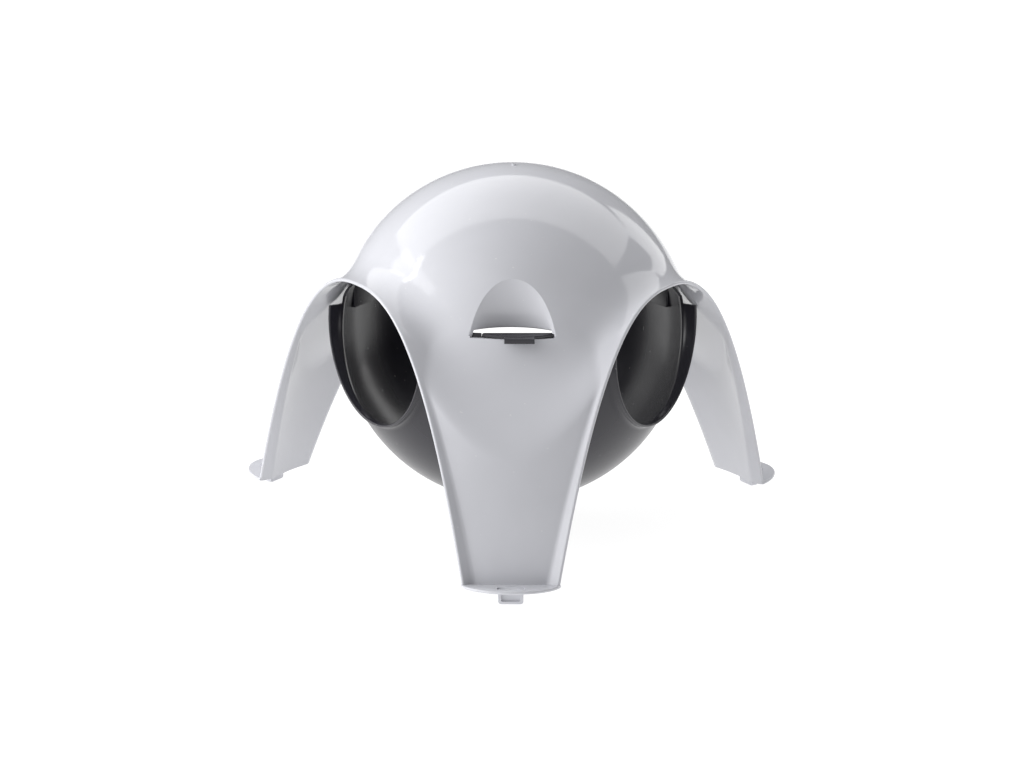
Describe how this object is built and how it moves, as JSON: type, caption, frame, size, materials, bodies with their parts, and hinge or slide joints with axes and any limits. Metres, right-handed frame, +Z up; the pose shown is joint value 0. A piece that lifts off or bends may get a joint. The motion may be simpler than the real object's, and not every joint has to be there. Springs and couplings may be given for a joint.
{
  "type": "small-pet nest house",
  "caption": "Domed plastic nest house for small pets: a lid on legs clipped over a round bowl with arched doorways and hooded vents.",
  "frame": {"origin": "on the common vertical axis of the dome and the bowl, at floor level under the three feet", "axes": "+Z up, -Y towards the front leg, +X to the right of someone who faces the front leg"},
  "size_m": [0.3112, 0.277, 0.2077],
  "materials": {
    "shell_white": "gloss",
    "bowl_charcoal": "gloss"
  },
  "bodies": {
    "bowl": {"bowl_base": "bowl_charcoal", "bowl_wall_front": "bowl_charcoal", "bowl_wall_left": "bowl_charcoal", "bowl_wall_right": "bowl_charcoal", "collar_left": "bowl_charcoal", "collar_right": "bowl_charcoal", "collar_rear": "bowl_charcoal", "latch_front": "bowl_charcoal", "latch_left": "bowl_charcoal", "latch_right": "bowl_charcoal"},
    "dome": {"dome_crown": "shell_white", "shoulder_front": "shell_white", "shoulder_left": "shell_white", "shoulder_right": "shell_white", "leg_front": "shell_white", "leg_left": "shell_white", "leg_right": "shell_white", "vent_hood_front": "shell_white", "vent_hood_left": "shell_white", "vent_hood_right": "shell_white", "foot_front": "shell_white", "foot_left": "shell_white", "foot_right": "shell_white", "hook_front": "shell_white", "hook_left": "shell_white", "hook_right": "shell_white"}
  },
  "joints": [
    {"name": "dome_lift", "type": "slide", "parent": "bowl", "child": "dome", "axis": [0, 0, 1], "range_m": [0, 0.14], "deforming": ["latch_front", "latch_left", "latch_right"]}
  ]
}
